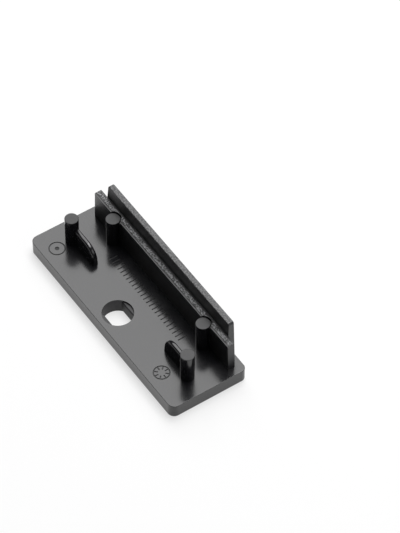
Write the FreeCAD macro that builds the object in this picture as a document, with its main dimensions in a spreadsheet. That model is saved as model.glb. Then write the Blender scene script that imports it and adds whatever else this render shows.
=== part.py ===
import FreeCAD, Part
import os

import Sketcher

# Profile end cap: one moulded plate that closes the end of a hollow profile.
# It rests on its outer face. +X runs along the plate, +Y towards the ribs, +Z into the profile.
# The origin is the middle of the outer face.

NODE = "end_cap"

# Driving dimensions in millimetres and degrees: alias, value, what it sets.
DIMENSIONS = (
    ("plate_length", 50.0, "plate along X"),
    ("plate_width", 17.2, "plate along Y"),
    ("plate_thickness", 3.3, "outer face to inner face"),
    ("near_corner_radius", 1.5, "upright corners away from the ribs"),
    ("far_corner_radius", 1.2, "upright corners beside the ribs"),
    ("outer_edge_round", 0.5, "round along the outer face's edge"),
    ("inner_edge_break", 0.08, "broken edge round the inner face"),
    ("inner_rib_inset", 1.8, "plate end to the inner rib's foot"),
    ("inner_rib_setback", 3.22, "plate's rib side to the inner rib's front"),
    ("inner_rib_thickness", 1.52, "inner rib along Y"),
    ("inner_rib_height", 6.8, "inner rib above the inner face"),
    ("inner_rib_corner", 0.2, "round of the inner rib's top ends"),
    ("ledge_width", 0.35, "narrow ledge along the inner rib's front top edge"),
    ("ledge_drop", 0.15, "ledge below the inner rib's top"),
    ("outer_rib_inset", 3.95, "plate end to the outer rib's foot"),
    ("outer_rib_setback", 0.15, "plate's rib side to the outer rib's back"),
    ("outer_rib_height", 9.9, "outer rib above the inner face"),
    ("outer_rib_top", 1.24, "outer rib along Y at its top"),
    ("outer_rib_draft", 0.09, "lean of the outer rib's back"),
    ("outer_rib_corner", 0.5, "round of the outer rib's top ends"),
    ("rib_end_draft", 2.0, "draft of the ribs' ends, degrees"),
    ("rib_edge_round", 0.15, "round of the ribs' remaining edges"),
    ("pin_diameter", 2.8, "all four pins"),
    ("pin_height", 6.6, "pins above the inner face"),
    ("pin_edge_round", 0.1, "round of the free pins' tops"),
    ("free_pin_inset", 4.9, "plate end to free pin axis"),
    ("free_pin_setback", 6.8, "plate's open side to free pin axis"),
    ("rib_pin_inset", 9.45, "plate end to rib pin axis"),
    ("rib_pin_proud", 0.58, "rib pin axis in front of the inner rib"),
    ("rib_pin_relief", 0.32, "socket in the inner rib's top, beyond a rib pin"),
    ("rib_pin_socket", 0.7, "depth of the socket below the inner rib's top"),
    ("fin_reach", 7.8, "free pin axis to fin end"),
    ("fin_offset", 0.4, "fin middle beyond the pin axis, towards the ribs"),
    ("fin_height", 4.1, "fins above the inner face"),
    ("fin_foot", 1.35, "fin thickness at its foot"),
    ("fin_draft", 2.5, "draft of a fin's sides, degrees"),
    ("fin_corner", 3.0, "round of a fin's top end"),
    ("fin_crown", 0.4, "round of a fin's two long edges"),
    ("hole_diameter", 6.3, "screw hole and its two recesses"),
    ("hole_flats", 4.6, "across the screw hole's flats"),
    ("hole_setback", 4.25, "plate's open side to hole axis"),
    ("recess_depth", 0.4, "round recess in each face of the plate"),
    ("flat_edge_round", 0.2, "round of the flats' edges in the inner recess"),
    ("mark_width", 0.26, "width of an engraved line"),
    ("mark_depth", 0.12, "depth of an engraved line"),
    ("stroke_pitch", 1.0, "distance between the strokes of the row"),
    ("stroke_spaces", 24.0, "spaces between the strokes of the row"),
    ("stroke_length", 1.9, "length of a stroke"),
    ("stroke_setback", 1.98, "inner rib's front to the strokes"),
    ("ring_diameter", 3.4, "both engraved rings"),
    ("ring_setback", 3.2, "plate's open side to the rings' middles"),
    ("dot_ring_inset", 5.0, "plate end to the dot ring's middle"),
    ("dot_diameter", 0.9, "dot in the dot ring"),
    ("tick_ring_inset", 8.3, "plate end to the tick ring's middle"),
    ("tick_count", 8.0, "ticks in the tick ring"),
    ("tick_length", 0.7, "length of a tick"),
)

# Places worked out from the driving dimensions, as sheet formulas.
DERIVED = (
    ("inner_rib_front", "plate_width / 2 - inner_rib_setback"),
    ("inner_rib_back", "inner_rib_front + inner_rib_thickness"),
    ("inner_rib_end", "plate_length / 2 - inner_rib_inset"),
    ("outer_rib_end", "plate_length / 2 - outer_rib_inset"),
    ("outer_rib_back", "plate_width / 2 - outer_rib_setback"),
    ("outer_rib_top_back", "outer_rib_back - outer_rib_draft"),
    ("outer_rib_top_front", "outer_rib_top_back - outer_rib_top"),
    ("outer_rib_slope", "(outer_rib_top_front - inner_rib_back) / (outer_rib_height - inner_rib_height)"),
    ("outer_rib_foot_front", "inner_rib_back - outer_rib_slope * inner_rib_height"),
    ("inner_rib_level", "plate_thickness + inner_rib_height"),
    ("outer_rib_level", "plate_thickness + outer_rib_height"),
    ("pin_level", "plate_thickness + pin_height"),
    ("free_pin_x", "plate_length / 2 - free_pin_inset"),
    ("free_pin_y", "free_pin_setback - plate_width / 2"),
    ("rib_pin_x", "plate_length / 2 - rib_pin_inset"),
    ("rib_pin_y", "inner_rib_front - rib_pin_proud"),
    ("hole_y", "hole_setback - plate_width / 2"),
    ("recess_floor", "plate_thickness - recess_depth"),
    ("fin_y", "free_pin_y + fin_offset"),
    ("row_length", "stroke_pitch * stroke_spaces"),
    ("stroke_top", "inner_rib_front - stroke_setback"),
    ("ring_y", "ring_setback - plate_width / 2"),
    ("dot_ring_x", "dot_ring_inset - plate_length / 2"),
    ("tick_ring_x", "plate_length / 2 - tick_ring_inset"),
    ("ring_inner_diameter", "ring_diameter - 2 * mark_width"),
)

SHEET = "sizes"


def make_sheet(doc):
    """Write the driving dimensions and the places worked out from them."""
    sheet = doc.addObject("Spreadsheet::Sheet", SHEET)
    rows = [(alias, str(value), note) for alias, value, note in DIMENSIONS]
    rows += [(alias, "=" + formula, "worked out") for alias, formula in DERIVED]
    for row, (alias, content, note) in enumerate(rows, start=1):
        sheet.set(f"A{row}", alias)
        sheet.set(f"B{row}", content)
        sheet.set(f"C{row}", note)
        sheet.setAlias(f"B{row}", alias)
    doc.recompute()
    return sheet


def origin_feature(body, role):
    """The body's own origin plane or axis of that role."""
    return next(f for f in body.Origin.OriginFeatures if f.Role == role)


def bind(thing, path, formula):
    """Bind one property to a formula over the sheet's aliases."""
    words = formula.replace("(", " ( ").replace(")", " ) ").split()
    aliases = {alias for alias, *_ in DIMENSIONS} | {alias for alias, _ in DERIVED}
    thing.setExpression(path, " ".join(f"{SHEET}.{w}" if w in aliases else w for w in words))


def new_sketch(body, name, plane="XY_Plane", level=None):
    """A sketch on one of the body's origin planes, raised along its normal to a level."""
    sketch = body.newObject("Sketcher::SketchObject", name)
    sketch.AttachmentSupport = [(origin_feature(body, plane), "")]
    sketch.MapMode = "FlatFace"
    if level:
        bind(sketch, "AttachmentOffset.Base.z", level)
    return sketch


def place_point(sketch, geometry, point, across, up):
    """Tie a point of the sketch to formulas for its two coordinates."""
    for kind, formula in (("DistanceX", across), ("DistanceY", up)):
        index = sketch.addConstraint(Sketcher.Constraint(kind, -1, 1, geometry, point, 1.0))
        bind(sketch, f"Constraints[{index}]", formula)


def add_polygon(sketch, corners):
    """A closed outline through corners, each a pair of formulas."""
    count = len(corners)
    first = sketch.GeometryCount
    for i in range(count):
        start = FreeCAD.Vector(i, i * i, 0)
        end = FreeCAD.Vector((i + 1) % count, ((i + 1) % count) ** 2, 0)
        sketch.addGeometry(Part.LineSegment(start, end), False)
    for i in range(count):
        following = first + (i + 1) % count
        sketch.addConstraint(Sketcher.Constraint("Coincident", first + i, 2, following, 1))
        place_point(sketch, first + i, 1, *corners[i])


def add_rectangle(sketch, left, right, low, high):
    """A rectangle between four formulas."""
    add_polygon(sketch, [(left, low), (right, low), (right, high), (left, high)])


def add_circle(sketch, across, up, diameter):
    """A circle with its middle and its diameter tied to formulas."""
    circle = Part.Circle(FreeCAD.Vector(1, 1, 0), FreeCAD.Vector(0, 0, 1), 1.0)
    index = sketch.addGeometry(circle, False)
    place_point(sketch, index, 3, across, up)
    size = sketch.addConstraint(Sketcher.Constraint("Diameter", index, 2.0))
    bind(sketch, f"Constraints[{size}]", diameter)


def pad(body, name, sketch, length, symmetric=False, taper=None):
    """Add a sketch's outline as material."""
    feature = body.newObject("PartDesign::Pad", name)
    feature.Profile = sketch
    feature.SideType = "Symmetric" if symmetric else "One side"
    bind(feature, "Length", length)
    if taper:
        bind(feature, "TaperAngle", taper)
    finish(body, feature)
    return feature


def pocket(body, name, sketch, depth, upward=False, symmetric=False):
    """Cut a sketch's outline away, downward unless said otherwise."""
    before = body.Shape.Volume
    feature = body.newObject("PartDesign::Pocket", name)
    feature.Profile = sketch
    feature.SideType = "Symmetric" if symmetric else "One side"
    feature.Reversed = upward
    bind(feature, "Length", depth)
    finish(body, feature)
    if body.Shape.Volume >= before:
        raise RuntimeError(f"{name} cuts nothing")
    return feature


def finish(body, feature):
    """Make a feature the body's tip and work it out."""
    body.Tip = feature
    body.Document.recompute()


def round_edges(body, name, size, wanted, kind="Fillet"):
    """Round or bevel the edges of the solid that the test wants."""
    base = body.Tip
    edges = [f"Edge{i}" for i, edge in enumerate(base.Shape.Edges, start=1) if wanted(edge)]
    if not edges:
        raise RuntimeError(f"{name} finds no edge")
    feature = body.newObject(f"PartDesign::{kind}", name)
    feature.Base = (base, edges)
    bind(feature, "Size" if kind == "Chamfer" else "Radius", size)
    finish(body, feature)
    return feature


def near(value, target):
    """Whether two lengths are the same to a thousandth."""
    return abs(value - target) < 0.001


def at_level(level):
    """Test for an edge that lies flat at one height."""
    return lambda edge: near(edge.BoundBox.ZMin, level) and near(edge.BoundBox.ZMax, level)


def upright_at(side):
    """Test for an upright edge on the +Y (1) or -Y (-1) side."""
    return lambda edge: edge.BoundBox.ZLength > 1 and edge.BoundBox.YMin * side > 0


def make_plate(body, sheet):
    """The plate with its rounded corners and edges."""
    sketch = new_sketch(body, "plate_outline")
    half_length, half_width = "plate_length / 2", "plate_width / 2"
    add_rectangle(sketch, f"- {half_length}", half_length, f"- {half_width}", half_width)
    pad(body, "plate", sketch, "plate_thickness")
    round_edges(body, "far_corners", "far_corner_radius", upright_at(1))
    round_edges(body, "near_corners", "near_corner_radius", upright_at(-1))
    round_edges(body, "outer_edge", "outer_edge_round", at_level(0.0))
    round_edges(body, "inner_edge", "inner_edge_break", at_level(sheet.plate_thickness))


def make_screw_hole(body, sheet):
    """The hole with two flats, between a round recess in each face."""
    sketch = new_sketch(body, "hole_outline")
    z_axis = FreeCAD.Vector(0, 0, 1)
    circle = Part.Circle(FreeCAD.Vector(0, -4, 0), z_axis, 3.0)
    right, left = (sketch.addGeometry(Part.ArcOfCircle(circle, a, a + 1.6), False) for a in (-0.8, 2.34))
    top = sketch.addGeometry(Part.LineSegment(FreeCAD.Vector(2, -2, 0), FreeCAD.Vector(-2, -2, 0)), False)
    low = sketch.addGeometry(Part.LineSegment(FreeCAD.Vector(-2, -6, 0), FreeCAD.Vector(2, -6, 0)), False)
    for first, second in ((right, top), (top, left), (left, low), (low, right)):
        sketch.addConstraint(Sketcher.Constraint("Coincident", first, 2, second, 1))
    sketch.addConstraint(Sketcher.Constraint("Coincident", right, 3, left, 3))
    sketch.addConstraint(Sketcher.Constraint("Equal", right, left))
    sketch.addConstraint(Sketcher.Constraint("Horizontal", top))
    sketch.addConstraint(Sketcher.Constraint("Horizontal", low))
    place_point(sketch, right, 3, "0", "hole_y")
    size = sketch.addConstraint(Sketcher.Constraint("Diameter", right, 6.0))
    bind(sketch, f"Constraints[{size}]", "hole_diameter")
    for line, formula in ((top, "hole_y + hole_flats / 2"), (low, "hole_y - hole_flats / 2")):
        index = sketch.addConstraint(Sketcher.Constraint("DistanceY", -1, 1, line, 1, -1.0))
        bind(sketch, f"Constraints[{index}]", formula)
    pocket(body, "screw_hole", sketch, "plate_thickness * 2", symmetric=True)

    for name, level, upward in (("inner_recess", "plate_thickness", False), ("outer_recess", None, True)):
        recess = new_sketch(body, f"{name}_outline", level=level)
        add_circle(recess, "0", "hole_y", "hole_diameter")
        pocket(body, name, recess, "recess_depth", upward=upward)

    def ends_flat(edge):
        return at_level(sheet.recess_floor)(edge) and near(edge.BoundBox.YLength, 0)

    round_edges(body, "flat_edges", "flat_edge_round", ends_flat)


def draft_ends(body, name, end, level):
    """Draft the upright faces that close a rib at its two ends."""
    base = body.Tip
    faces, seat = [], None
    for i, face in enumerate(base.Shape.Faces, start=1):
        box = face.BoundBox
        if near(box.XLength, 0) and near(abs(box.XMin), end) and near(box.ZMax, level):
            faces.append(f"Face{i}")
        if near(box.ZLength, 0) and box.ZMin > 1 and face.Area > 100:
            seat = f"Face{i}"
    feature = body.newObject("PartDesign::Draft", name)
    feature.Base = (base, faces)
    feature.NeutralPlane = (base, [seat])
    bind(feature, "Angle", "rib_end_draft")
    finish(body, feature)


def make_rib(body, sheet, name, section, corners, back):
    """One rib from its section, with drafted ends, and rounded edges up to a place along Y."""
    add_polygon(section, corners)
    end = sheet.getPropertyByName(f"{name}_end")
    level = sheet.getPropertyByName(f"{name}_level")
    pad(body, name, section, f"{name}_end * 2", symmetric=True)
    draft_ends(body, f"{name}_draft", end, level)

    def crosses_end(edge):
        return at_level(level)(edge) and near(edge.BoundBox.XLength, 0)

    round_edges(body, f"{name}_corners", f"{name}_corner", crosses_end)

    def outlines_rib(edge):
        box = edge.BoundBox
        return near(box.ZMax, level) and near(box.ZMin, level) and box.XLength > 1 and box.YMax < back

    round_edges(body, f"{name}_edges", "rib_edge_round", outlines_rib)


def make_ribs(body, sheet):
    """The tall outer rib and, standing against its front, the low inner rib."""
    make_rib(body, sheet, "outer_rib", new_sketch(body, "outer_rib_section", plane="YZ_Plane"), [
        ("outer_rib_foot_front", "plate_thickness"),
        ("outer_rib_back", "plate_thickness"),
        ("outer_rib_top_back", "outer_rib_level"),
        ("outer_rib_top_front", "outer_rib_level"),
    ], sheet.outer_rib_back)
    make_rib(body, sheet, "inner_rib", new_sketch(body, "inner_rib_section", plane="YZ_Plane"), [
        ("inner_rib_front", "plate_thickness"),
        ("inner_rib_back", "plate_thickness"),
        ("inner_rib_back", "inner_rib_level"),
        ("inner_rib_front", "inner_rib_level"),
    ], sheet.inner_rib_back - sheet.inner_rib_thickness / 2)

    ledge = new_sketch(body, "ledge_section", plane="YZ_Plane")
    front, level = "inner_rib_front", "inner_rib_level"
    low, high = f"{level} - ledge_drop", f"{level} + ledge_drop"
    add_rectangle(ledge, f"{front} - ledge_width", f"{front} + ledge_width", low, high)
    pocket(body, "ledge", ledge, "inner_rib_end * 2", symmetric=True)


def make_fins(body, sheet):
    """A thin drafted fin from each free pin's axis towards the middle of the plate."""
    sketch = new_sketch(body, "fin_outline", level="plate_thickness")
    low, high = "fin_y - fin_foot / 2", "fin_y + fin_foot / 2"
    add_rectangle(sketch, "free_pin_x - fin_reach", "free_pin_x", low, high)
    add_rectangle(sketch, "- free_pin_x", "fin_reach - free_pin_x", low, high)
    pad(body, "fins", sketch, "fin_height", taper="- fin_draft")

    level = sheet.plate_thickness + sheet.fin_height
    middle = sheet.free_pin_x - sheet.fin_reach / 2

    def crosses_fin_end(edge):
        inward = abs(edge.CenterOfMass.x) < middle
        return inward and at_level(level)(edge) and near(edge.BoundBox.XLength, 0)

    round_edges(body, "fin_ends", "fin_corner", crosses_fin_end)

    def runs_along_fin(edge):
        return at_level(level)(edge) and near(edge.BoundBox.YLength, 0)

    round_edges(body, "fin_crowns", "fin_crown", runs_along_fin)


def make_pins(body, sheet):
    """Two free pins, and two that stand half inside round sockets in the inner rib."""
    sockets = new_sketch(body, "rib_pin_socket_outline", level="inner_rib_level")
    for side in ("", "- "):
        add_circle(sockets, f"{side}rib_pin_x", "rib_pin_y", "pin_diameter + 2 * rib_pin_relief")
    pocket(body, "rib_pin_sockets", sockets, "rib_pin_socket")

    for kind in ("free_pin", "rib_pin"):
        sketch = new_sketch(body, f"{kind}_outline", level="plate_thickness")
        for side in ("", "- "):
            add_circle(sketch, f"{side}{kind}_x", f"{kind}_y", "pin_diameter")
        pad(body, f"{kind}s", sketch, "pin_height")

    def rims_free_pin(edge):
        return at_level(sheet.pin_level)(edge) and near(edge.CenterOfMass.y, sheet.free_pin_y)

    round_edges(body, "free_pin_rims", "pin_edge_round", rims_free_pin)


def repeat(body, name, kind, original, axis, path, extent, count):
    """Repeat a cut along an axis (LinearPattern) or round it (PolarPattern)."""
    feature = body.newObject(f"PartDesign::{kind}", name)
    feature.Originals = [original]
    setattr(feature, "Direction" if kind == "LinearPattern" else "Axis", axis)
    bind(feature, path, extent)
    bind(feature, "Occurrences", count)
    finish(body, feature)


def make_marks(body):
    """Plain engraved marks: a row of strokes, a ring with a dot and a ring with ticks."""
    stroke = new_sketch(body, "stroke_outline", level="plate_thickness")
    first, half = "- row_length / 2", "mark_width / 2"
    add_rectangle(stroke, f"{first} - {half}", f"{first} + {half}", "stroke_top - stroke_length", "stroke_top")
    cut = pocket(body, "stroke", stroke, "mark_depth")
    along = (origin_feature(body, "X_Axis"), [""])
    repeat(body, "stroke_row", "LinearPattern", cut, along, "Length", "row_length", "stroke_spaces + 1")

    rings = new_sketch(body, "ring_outline", level="plate_thickness")
    for middle in ("dot_ring_x", "tick_ring_x"):
        for diameter in ("ring_diameter", "ring_inner_diameter"):
            add_circle(rings, middle, "ring_y", diameter)
    add_circle(rings, "dot_ring_x", "ring_y", "dot_diameter")
    pocket(body, "rings", rings, "mark_depth")

    tick = new_sketch(body, "tick_outline", level="plate_thickness")
    bind(tick, "AttachmentOffset.Base.x", "tick_ring_x")
    bind(tick, "AttachmentOffset.Base.y", "ring_y")
    outer = "ring_inner_diameter / 2"
    add_rectangle(tick, f"{outer} - tick_length", f"{outer} + {half}", f"- {half}", half)
    cut = pocket(body, "tick", tick, "mark_depth")
    repeat(body, "ticks", "PolarPattern", cut, (tick, ["N_Axis"]), "Angle", "360", "tick_count")


def make_body(doc, sheet):
    """The whole moulding as one body."""
    body = doc.addObject("PartDesign::Body", NODE)
    body.Label = NODE
    make_plate(body, sheet)
    make_screw_hole(body, sheet)
    make_ribs(body, sheet)
    make_fins(body, sheet)
    make_pins(body, sheet)
    make_marks(body)
    return body


def check(doc, body):
    """Stop if any object failed or the solid is not one sound piece."""
    for thing in doc.Objects:
        if "Invalid" in thing.State or "Error" in thing.State:
            raise RuntimeError(f"{thing.Name} failed: {thing.State}")
    shape = body.Shape
    if shape.isNull() or not shape.isValid() or len(shape.Solids) != 1:
        raise RuntimeError(f"{body.Label} is not one sound solid")


def main():
    doc = FreeCAD.newDocument("profile_end_cap")
    sheet = make_sheet(doc)
    body = make_body(doc, sheet)
    doc.recompute()
    check(doc, body)
    os.makedirs("parts", exist_ok=True)
    body.Shape.exportStep(f"parts/{NODE}.step")
    box = body.Shape.BoundBox
    print(f"{NODE}: volume {body.Shape.Volume:.2f} mm3, box {box.XLength:.2f} {box.YLength:.2f} {box.ZLength:.2f}")


main()
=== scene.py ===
"""Looks of the profile end cap: black moulded plastic on a white studio floor."""

import logging
import math
from dataclasses import dataclass, field
from enum import Enum

import bpy
from mathutils import Matrix, Vector


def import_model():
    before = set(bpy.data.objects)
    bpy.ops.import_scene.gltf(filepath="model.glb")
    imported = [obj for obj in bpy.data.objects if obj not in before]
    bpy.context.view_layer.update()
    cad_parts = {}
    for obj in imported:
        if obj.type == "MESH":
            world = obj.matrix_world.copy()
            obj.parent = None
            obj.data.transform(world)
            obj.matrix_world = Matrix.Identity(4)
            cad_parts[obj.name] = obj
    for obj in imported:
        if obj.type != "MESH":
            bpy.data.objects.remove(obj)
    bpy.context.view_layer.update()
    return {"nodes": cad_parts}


LOG = logging.getLogger("end_cap_scene")

MM = 0.001
CAP_NODE = "end_cap"
IMAGE_SIZE = (400, 533)

Colour = tuple[float, float, float]
Socket = bpy.types.NodeSocket


class Mix(Enum):
    """What a math node does with its values."""

    ADD = "ADD"
    SUBTRACT = "SUBTRACT"
    MULTIPLY = "MULTIPLY"
    GREATER = "GREATER_THAN"
    LESS = "LESS_THAN"
    LOWER = "MINIMUM"
    HIGHER = "MAXIMUM"
    ABSOLUTE = "ABSOLUTE"


class Side(Enum):
    """Where a socket of a node group stands."""

    INPUT = "INPUT"
    OUTPUT = "OUTPUT"


@dataclass(frozen=True)
class MixKind:
    """A kind of value that the mix node takes, and the numbers of its sockets, whose names repeat."""

    data_type: str
    first: int
    second: int
    result: int


VALUE_MIX = MixKind("FLOAT", 2, 3, 0)
COLOUR_MIX = MixKind("RGBA", 6, 7, 2)


class Graph:
    """A node tree with short calls for its nodes and links."""

    def __init__(self, tree: bpy.types.NodeTree) -> None:
        """Take the node tree that the calls add to."""
        self.tree = tree

    def node(self, kind: str, **settings: object) -> bpy.types.Node:
        """Add a node and set its properties.

        Args:
            kind: the node's type name.
            **settings: properties of the node.

        Returns:
            The new node.
        """
        made = self.tree.nodes.new(kind)
        for name, value in settings.items():
            setattr(made, name, value)
        return made

    def put(self, socket: Socket, value: object) -> None:
        """Link an output to a socket, or set the socket's own value.

        Args:
            socket: the input socket.
            value: an output socket, a number or a tuple.
        """
        if isinstance(value, bpy.types.NodeSocket):
            self.tree.links.new(value, socket)
        else:
            socket.default_value = value

    def math(self, mix: Mix, first: object, second: object = 0.0) -> Socket:
        """Join two values, or turn one into another.

        Args:
            mix: what is done with them.
            first: the first number or output.
            second: the second number or output.

        Returns:
            The result's output.
        """
        made = self.node("ShaderNodeMath", operation=mix.value)
        self.put(made.inputs[0], first)
        self.put(made.inputs[1], second)
        return made.outputs[0]

    def noise(self, place: Socket, scale: object, detail: float, roughness: float = 0.5) -> Socket:
        """Sample a noise field.

        Args:
            place: the coordinates.
            scale: cells in each metre.
            detail: octaves.
            roughness: weight of the fine octaves.

        Returns:
            The noise value, about 0 to 1.
        """
        made = self.node("ShaderNodeTexNoise")
        self.put(made.inputs["Vector"], place)
        self.put(made.inputs["Scale"], scale)
        self.put(made.inputs["Detail"], detail)
        self.put(made.inputs["Roughness"], roughness)
        return made.outputs["Fac"]

    def ramp(self, value: object, low: float, high: float, start: float, end: float) -> Socket:
        """Carry one range of a value smoothly to another.

        Args:
            value: the value to carry.
            low: where the change starts.
            high: where the change ends.
            start: the result at low.
            end: the result at high.

        Returns:
            The result's output.
        """
        made = self.node("ShaderNodeMapRange", interpolation_type="SMOOTHSTEP")
        for name, number in (
            ("Value", value),
            ("From Min", low),
            ("From Max", high),
            ("To Min", start),
            ("To Max", end),
        ):
            self.put(made.inputs[name], number)
        return made.outputs["Result"]

    def all_of(self, first: Socket, *others: Socket) -> Socket:
        """Join masks into one that is full only where every mask is.

        Args:
            first: the first mask.
            *others: the other masks.

        Returns:
            The joined mask's output.
        """
        joined = first
        for mask in others:
            joined = self.math(Mix.LOWER, joined, mask)
        return joined

    def mixed(self, kind: MixKind, share: object, first: object, second: object) -> Socket:
        """Mix two numbers or colours by a share.

        Args:
            kind: what is mixed.
            share: 0 gives the first, 1 the second.
            first: the first number, colour or output.
            second: the second number, colour or output.

        Returns:
            The result's output.
        """
        made = self.node("ShaderNodeMix", data_type=kind.data_type)
        self.put(made.inputs[0], share)
        self.put(made.inputs[kind.first], first)
        self.put(made.inputs[kind.second], second)
        return made.outputs[kind.result]

    def blend(self, share: object, first: object, second: object) -> Socket:
        """Mix two values: a share of 0 gives the first and 1 the second."""
        return self.mixed(VALUE_MIX, share, first, second)

    def blend_colour(self, share: object, first: object, second: object) -> Socket:
        """Mix two colours: a share of 0 gives the first and 1 the second."""
        opaque = [(*colour, 1.0) if isinstance(colour, tuple) else colour for colour in (first, second)]
        return self.mixed(COLOUR_MIX, share, *opaque)


def new_group(
    name: str,
    sockets: list[tuple[str, Side, str]],
) -> tuple[bpy.types.NodeTree, Graph, dict[str, Socket], dict[str, Socket]]:
    """Start a shader node group with named sockets.

    Args:
        name: the group's name.
        sockets: each socket's name, side and type.

    Returns:
        The group, its graph, its input values and its result sockets by name.
    """
    tree = bpy.data.node_groups.new(name, "ShaderNodeTree")
    for socket_name, side, kind in sockets:
        tree.interface.new_socket(name=socket_name, in_out=side.value, socket_type=kind)
    graph = Graph(tree)
    given = graph.node("NodeGroupInput").outputs
    results = graph.node("NodeGroupOutput").inputs
    inputs = {label: given[label] for label, side, _ in sockets if side is Side.INPUT}
    outputs = {label: results[label] for label, side, _ in sockets if side is Side.OUTPUT}
    return tree, graph, inputs, outputs


@dataclass(frozen=True)
class CapPlaces:
    """Where the cap's faces lie, in metres."""

    inner_face: float = 3.3 * MM
    mark_depth: float = 0.12 * MM
    slack: float = 0.02 * MM
    rim_reach: tuple[float, float] = (24.7 * MM, 8.3 * MM)
    hole: tuple[float, float] = (0.0, -4.35 * MM)
    hole_reach: float = 3.3 * MM
    pins: tuple[tuple[float, float], ...] = ((20.1 * MM, -1.8 * MM), (15.55 * MM, 4.8 * MM))
    pin_reach: float = 1.45 * MM
    pin_top: float = 9.86 * MM
    rib_front: float = 5.30 * MM
    rib_top: float = 9.98 * MM
    rib_step: float = 6.58 * MM
    crest: float = 13.15 * MM
    groove_reach: float = 1.74 * MM
    slope_reach: float = 7.25 * MM
    slope_half_length: float = 20.95 * MM


@dataclass(frozen=True)
class SparkGrain:
    """Fine pitted grain that a spark-eroded mould leaves."""

    name: str = "spark_grain"
    coarse_detail: float = 2.0
    coarse_roughness: float = 0.6
    fine_scale: float = 2.7
    fine_detail: float = 1.0
    fine_share: float = 0.35
    speckle_band: tuple[float, float] = (0.44, 0.60)

    def build(self) -> bpy.types.NodeTree:
        """Build the group: the height of pits in two sizes, and a mask of speckles.

        Returns:
            The shader node group.
        """
        tree, graph, given, made = new_group(self.name, [
            ("Place", Side.INPUT, "NodeSocketVector"),
            ("Cells", Side.INPUT, "NodeSocketFloat"),
            ("Height", Side.OUTPUT, "NodeSocketFloat"),
            ("Speckle", Side.OUTPUT, "NodeSocketFloat"),
        ])
        coarse = graph.noise(given["Place"], given["Cells"], self.coarse_detail, self.coarse_roughness)
        fine_cells = graph.math(Mix.MULTIPLY, given["Cells"], self.fine_scale)
        fine = graph.noise(given["Place"], fine_cells, self.fine_detail)
        graph.put(made["Height"], graph.blend(self.fine_share, coarse, fine))
        graph.put(made["Speckle"], graph.ramp(coarse, *self.speckle_band, 0.0, 1.0))
        return tree


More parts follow.
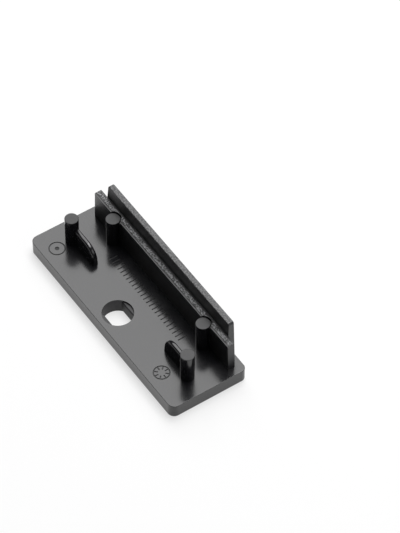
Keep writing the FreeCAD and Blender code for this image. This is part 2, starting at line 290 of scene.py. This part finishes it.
@dataclass(frozen=True)
class FaceZones:
    """Masks that tell the cap's faces apart.

    Grained is the ribs and the outer face, Rib Top the low rib's top and in part the high rib's. The pale
    specks that Rib Top gives are painted glints, and they stop short of the high rib's foot, leaving that
    strip dark as painted shade. Mark is the floor of the marks and the rib close round its two pins, Edge
    Side the plate's sides, Slope the high rib's front and Hole all of the screw hole. Mark and Slope are
    darkened with painted shade.
    """

    places: CapPlaces
    name: str = "face_zones"
    # Share of the rib-top mask, and so of its painted glints, on the high rib's top.
    crest_share: float = 0.35

    def build(self) -> bpy.types.NodeTree:
        """Build the group, which reads the object's own coordinates.

        Returns:
            The shader node group.
        """
        tree, graph, given, made = new_group(self.name, [
            ("Place", Side.INPUT, "NodeSocketVector"),
            ("Grained", Side.OUTPUT, "NodeSocketFloat"),
            ("Rib Top", Side.OUTPUT, "NodeSocketFloat"),
            ("Mark", Side.OUTPUT, "NodeSocketFloat"),
            ("Pin", Side.OUTPUT, "NodeSocketFloat"),
            ("Pin Top", Side.OUTPUT, "NodeSocketFloat"),
            ("Edge Side", Side.OUTPUT, "NodeSocketFloat"),
            ("Slope", Side.OUTPUT, "NodeSocketFloat"),
            ("Hole", Side.OUTPUT, "NodeSocketFloat"),
        ])
        places = self.places
        split = graph.node("ShaderNodeSeparateXYZ")
        graph.put(split.inputs[0], given["Place"])
        along, across, up = split.outputs
        from_middle = graph.math(Mix.ABSOLUTE, along)
        level = graph.node("ShaderNodeCombineXYZ")
        graph.put(level.inputs[0], from_middle)
        graph.put(level.inputs[1], across)

        above = graph.math(Mix.GREATER, up, places.inner_face + places.slack)
        pin = self.within(graph, level.outputs[0], places.pins[0], places.pin_reach)
        for middle in places.pins[1:]:
            pin = graph.math(Mix.HIGHER, pin, self.within(graph, level.outputs[0], middle, places.pin_reach))
        pin = graph.all_of(pin, above)
        graph.put(made["Pin"], pin)
        graph.put(made["Pin Top"], graph.all_of(pin, graph.math(Mix.GREATER, up, places.pin_top)))

        rib = graph.all_of(
            above,
            graph.math(Mix.GREATER, across, places.rib_front),
            graph.math(Mix.SUBTRACT, 1.0, pin),
        )
        underside = graph.math(Mix.LESS, up, places.slack)
        graph.put(made["Grained"], graph.math(Mix.HIGHER, rib, underside))
        # Rib tops that take the painted glints: the low rib's top short of the high rib's foot, which stays
        # dark as painted shade, and part of the high rib's top.
        step = graph.all_of(
            graph.math(Mix.GREATER, up, places.rib_top),
            graph.math(Mix.LESS, across, places.rib_step),
        )
        crest = graph.math(Mix.MULTIPLY, graph.math(Mix.GREATER, up, places.crest), self.crest_share)
        graph.put(made["Rib Top"], graph.all_of(rib, graph.math(Mix.HIGHER, step, crest)))
        # The rib's recess round the pins, which is darkened with painted shade along with the marks.
        groove = graph.all_of(
            rib,
            self.within(graph, level.outputs[0], places.pins[1], places.groove_reach),
            graph.math(Mix.LESS, up, places.rib_top),
        )

        below = graph.math(Mix.LESS, up, places.inner_face - places.slack)
        hole = self.within(graph, level.outputs[0], places.hole, places.hole_reach)
        inside = graph.all_of(
            graph.math(Mix.LESS, from_middle, places.rim_reach[0]),
            graph.math(Mix.LESS, graph.math(Mix.ABSOLUTE, across), places.rim_reach[1]),
        )
        shallow = graph.math(Mix.GREATER, up, places.inner_face - places.mark_depth - places.slack)
        outside_hole = graph.math(Mix.SUBTRACT, 1.0, hole)
        # The marks' floors; with the pins' recess they are darkened with painted shade.
        mark = graph.all_of(inside, below, shallow, outside_hole)
        graph.put(made["Mark"], graph.math(Mix.HIGHER, mark, groove))
        side = graph.all_of(below, outside_hole)
        graph.put(made["Edge Side"], graph.math(Mix.SUBTRACT, side, graph.all_of(side, inside)))

        # The high rib's front above the low rib, darkened with painted shade.
        slope = graph.all_of(
            rib,
            graph.math(Mix.GREATER, across, places.rib_step),
            graph.math(Mix.LESS, across, places.slope_reach),
            graph.math(Mix.GREATER, up, places.rib_top),
            graph.math(Mix.LESS, up, places.crest),
            graph.math(Mix.LESS, from_middle, places.slope_half_length),
        )
        graph.put(made["Slope"], slope)
        graph.put(made["Hole"], graph.all_of(below, hole))
        return tree

    @staticmethod
    def within(graph: Graph, level: Socket, middle: tuple[float, float], reach: float) -> Socket:
        """Mask what stands within reach of an upright axis.

        Args:
            graph: the graph to add to.
            level: coordinates with the height left out.
            middle: where the axis stands.
            reach: the mask's radius.

        Returns:
            The mask's output.
        """
        far = graph.node("ShaderNodeVectorMath", operation="DISTANCE")
        graph.put(far.inputs[0], level)
        graph.put(far.inputs[1], (*middle, 0.0))
        return graph.math(Mix.LESS, far.outputs["Value"], reach)


@dataclass(frozen=True)
class CapPlastic:
    """Black moulded plastic.

    The inner face and the fins are satin, the pins and the plate's sides glossy, the ribs and the outer
    face grained, and the pins' tops, the marks and the hole dull. Pale specks on the rib tops are painted
    glints, and the marks, the recess round the pins and the high rib's front are darkened with painted
    shade.
    """

    places: CapPlaces = field(default_factory=CapPlaces)
    name: str = "black_moulded_plastic"
    body_colour: Colour = (0.0065, 0.0065, 0.0080)
    speck_colour: Colour = (0.008, 0.008, 0.010)
    # Painted glints: pale specks on the rib tops stand in for the lamps' light on the grain there.
    top_painted_glint_colour: Colour = (0.280, 0.280, 0.286)
    # Painted shade on the marks' floors, the recess round the pins and the high rib's front.
    painted_shade_colour: Colour = (0.0025, 0.0025, 0.0032)
    satin_roughness: float = 0.18
    side_roughness: float = 0.14
    pin_roughness: float = 0.16
    pin_top_roughness: float = 0.52
    grain_roughness: float = 0.40
    top_roughness: float = 0.55
    slope_roughness: float = 0.34
    hole_roughness: float = 0.58
    mark_roughness: float = 0.62
    refraction: float = 1.6
    grain_cells: float = 3400.0
    grain_depth: float = 0.150 * MM
    pin_top_grain: float = 0.35
    side_grain: float = 0.40
    flow_cells: float = 140.0
    flow_detail: float = 3.0
    flow_band: tuple[float, float] = (0.3, 0.7)
    flow_roughness: float = 0.04

    def build(self) -> bpy.types.Material:
        """Build the material from the zones and the grain.

        Returns:
            The finished material.
        """
        material = bpy.data.materials.new(self.name)
        material.use_nodes = True
        material.node_tree.nodes.clear()
        graph = Graph(material.node_tree)
        place = graph.node("ShaderNodeTexCoord").outputs["Object"]
        zones = graph.node("ShaderNodeGroup", node_tree=FaceZones(self.places).build())
        grain = graph.node("ShaderNodeGroup", node_tree=SparkGrain().build())
        graph.put(zones.inputs["Place"], place)
        graph.put(grain.inputs["Place"], place)
        graph.put(grain.inputs["Cells"], self.grain_cells)
        grained = zones.outputs["Grained"]

        shader = graph.node("ShaderNodeBsdfPrincipled")
        shader.inputs["IOR"].default_value = self.refraction
        # Grain specks, in the grain's own darker tone; on the rib tops they are pale painted glints.
        speck_and_painted_glint = graph.blend_colour(zones.outputs["Rib Top"], self.speck_colour, self.top_painted_glint_colour)
        speck_and_glint_share = graph.math(Mix.MULTIPLY, grained, grain.outputs["Speckle"])
        body_and_painted_glint = graph.blend_colour(speck_and_glint_share, self.body_colour, speck_and_painted_glint)
        # Painted shade over the marks, the pins' recess and the high rib's front.
        painted_shade_mask = graph.math(Mix.HIGHER, zones.outputs["Mark"], zones.outputs["Slope"])
        graph.put(shader.inputs["Base Color"], graph.blend_colour(painted_shade_mask, body_and_painted_glint, self.painted_shade_colour))

        flow = graph.noise(place, self.flow_cells, self.flow_detail)
        drift = graph.ramp(flow, *self.flow_band, -self.flow_roughness, self.flow_roughness)
        roughness = graph.math(Mix.ADD, self.satin_roughness, drift)
        for zone, level in (
            ("Edge Side", self.side_roughness),
            ("Pin", self.pin_roughness),
            ("Pin Top", self.pin_top_roughness),
            ("Grained", self.grain_roughness),
            ("Rib Top", self.top_roughness),
            ("Slope", self.slope_roughness),
            ("Hole", self.hole_roughness),
            ("Mark", self.mark_roughness),
        ):
            roughness = graph.blend(zones.outputs[zone], roughness, level)
        graph.put(shader.inputs["Roughness"], roughness)

        bump = graph.node("ShaderNodeBump")
        graph.put(bump.inputs["Strength"], 1.0)
        graph.put(bump.inputs["Distance"], self.grain_depth)
        soft = graph.math(Mix.MULTIPLY, zones.outputs["Pin Top"], self.pin_top_grain)
        depth = graph.blend(zones.outputs["Rib Top"], self.side_grain, 1.0)
        strength = graph.math(Mix.HIGHER, graph.math(Mix.MULTIPLY, grained, depth), soft)
        graph.put(bump.inputs["Height"], graph.math(Mix.MULTIPLY, strength, grain.outputs["Height"]))
        graph.put(shader.inputs["Normal"], bump.outputs["Normal"])
        output = graph.node("ShaderNodeOutputMaterial")
        graph.put(output.inputs["Surface"], shader.outputs["BSDF"])
        return material


@dataclass(frozen=True)
class EndCap:
    """The moulded cap itself, which keeps its CAD shape."""

    node: bpy.types.Object
    plastic: CapPlastic = field(default_factory=CapPlastic)

    def dress(self) -> None:
        """Give the cap its plastic."""
        self.node.material_slots[0].material = self.plastic.build()
        LOG.info("dressed %s: %d faces", self.node.name, len(self.node.data.polygons))


@dataclass(frozen=True)
class StudioFloor:
    """A white floor that keeps a pale shadow."""

    half_side: float = 2.0
    level: float = -0.01 * MM
    paper: float = 0.80
    glow_share: float = 0.62
    glow: float = 1.05

    def build(self) -> bpy.types.Object:
        """Lay the floor and dress it in white paper.

        Returns:
            The floor.
        """
        bpy.ops.object.select_all(action="DESELECT")
        bpy.ops.mesh.primitive_plane_add(size=2 * self.half_side, location=(0.0, 0.0, self.level))
        floor = bpy.context.object
        floor.name = "studio_floor"
        floor.data.materials.append(self.build_paper())
        LOG.info("laid %s", floor.name)
        return floor

    def build_paper(self) -> bpy.types.Material:
        """Build white paper that shows white to the camera and to reflections.

        Returns:
            The material.
        """
        material = bpy.data.materials.new("white_paper")
        material.use_nodes = True
        material.node_tree.nodes.clear()
        graph = Graph(material.node_tree)
        path = graph.node("ShaderNodeLightPath")
        seen = graph.math(Mix.HIGHER, path.outputs["Is Camera Ray"], path.outputs["Is Glossy Ray"])
        paper = graph.node("ShaderNodeBsdfDiffuse")
        graph.put(paper.inputs["Color"], (self.paper, self.paper, self.paper, 1.0))
        glow = graph.node("ShaderNodeEmission")
        graph.put(glow.inputs["Strength"], self.glow)
        both = graph.node("ShaderNodeMixShader")
        graph.put(both.inputs[0], graph.math(Mix.MULTIPLY, seen, self.glow_share))
        graph.put(both.inputs[1], paper.outputs[0])
        graph.put(both.inputs[2], glow.outputs[0])
        output = graph.node("ShaderNodeOutputMaterial")
        graph.put(output.inputs["Surface"], both.outputs[0])
        return material


@dataclass(frozen=True)
class Softbox:
    """One rectangular soft lamp aimed at the cap."""

    name: str
    azimuth: float
    elevation: float
    distance: float
    width: float
    height: float
    power: float

    def build(self) -> bpy.types.Object:
        """Hang the lamp and aim it at the origin.

        Returns:
            The lamp.
        """
        data = bpy.data.lights.new(self.name, "AREA")
        data.shape = "RECTANGLE"
        data.size = self.width
        data.size_y = self.height
        data.energy = self.power
        lamp = bpy.data.objects.new(self.name, data)
        bpy.context.scene.collection.objects.link(lamp)
        towards = view_direction(self.azimuth, self.elevation)
        lamp.location = towards * self.distance
        lamp.rotation_euler = towards.to_track_quat("Z", "Y").to_euler()
        LOG.info("hung %s", self.name)
        return lamp


@dataclass(frozen=True)
class Studio:
    """Floor, lamps and the light that comes from all round."""

    sky: float = 0.08
    floor: StudioFloor = field(default_factory=StudioFloor)
    lamps: tuple[Softbox, ...] = (
        Softbox("back_softbox", 235.6, 50.7, 0.70, 0.60, 0.56, 3.6),
        Softbox("top_softbox", 180.0, 76.0, 0.70, 0.42, 0.42, 3.2),
        Softbox("side_softbox", 115.0, 31.0, 0.70, 0.40, 0.40, 0.6),
    )

    def build(self) -> None:
        """Set up everything round the cap."""
        self.floor.build()
        for lamp in self.lamps:
            lamp.build()
        self.build_sky()
        bpy.context.scene.view_settings.view_transform = "Standard"

    def build_sky(self) -> None:
        """Fill the world with soft light, and show it white to the camera."""
        world = bpy.data.worlds.new("studio_sky")
        bpy.context.scene.world = world
        world.use_nodes = True
        world.node_tree.nodes.clear()
        graph = Graph(world.node_tree)
        path = graph.node("ShaderNodeLightPath")
        light = graph.node("ShaderNodeBackground")
        graph.put(light.inputs["Color"], (1.0, 1.0, 1.0, 1.0))
        graph.put(light.inputs["Strength"], graph.blend(path.outputs["Is Camera Ray"], self.sky, 1.0))
        output = graph.node("ShaderNodeOutputWorld")
        graph.put(output.inputs["Surface"], light.outputs[0])
        LOG.info("lit the sky at %.2f", self.sky)


def view_direction(azimuth: float, elevation: float) -> Vector:
    """Direction from the cap to a place round it.

    Args:
        azimuth: degrees, 0 on the -Y side and 90 on the +X side.
        elevation: degrees above the floor.

    Returns:
        A unit vector.
    """
    turn, rise = math.radians(azimuth), math.radians(elevation)
    return Vector((math.sin(turn) * math.cos(rise), -math.cos(turn) * math.cos(rise), math.sin(rise)))


@dataclass(frozen=True)
class PhotoCamera:
    """The camera at the photograph's place, with its long lens."""

    azimuth: float = 55.556
    elevation: float = 50.711
    roll: float = 0.410
    distance: float = 0.65153
    focal_pixels: float = 3374.3
    origin_pixel: tuple[float, float] = (136.93, 313.64)
    sensor: float = 36.0
    clip: tuple[float, float] = (0.01, 20.0)

    def build(self) -> bpy.types.Object:
        """Place the camera and make it the scene's.

        Returns:
            The camera.
        """
        data = bpy.data.cameras.new("photo_camera")
        data.sensor_width = self.sensor
        data.lens = self.focal_pixels / max(IMAGE_SIZE) * self.sensor
        data.clip_start, data.clip_end = self.clip
        camera = bpy.data.objects.new("photo_camera", data)
        bpy.context.scene.collection.objects.link(camera)
        back = view_direction(self.azimuth, self.elevation)
        level = Vector((math.cos(math.radians(self.azimuth)), math.sin(math.radians(self.azimuth)), 0.0))
        turn = Matrix.Rotation(math.radians(self.roll), 3, back)
        right = turn @ level
        up = back.cross(right)
        pixel = self.distance / self.focal_pixels
        aside = (self.origin_pixel[0] - IMAGE_SIZE[0] / 2) * pixel
        below = (self.origin_pixel[1] - IMAGE_SIZE[1] / 2) * pixel
        camera.location = back * self.distance - right * aside + up * below
        camera.rotation_euler = Matrix((right, up, back)).transposed().to_euler()
        bpy.context.scene.camera = camera
        LOG.info("placed %s with a %.0f mm lens", camera.name, data.lens)
        return camera


def main() -> None:
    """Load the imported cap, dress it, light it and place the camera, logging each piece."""
    logging.basicConfig(level=logging.INFO, format="%(message)s")
    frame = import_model()
    bpy.ops.object.select_all(action="DESELECT")
    EndCap(frame["nodes"][CAP_NODE]).dress()
    Studio().build()
    PhotoCamera().build()


if __name__ == "__main__":
    main()
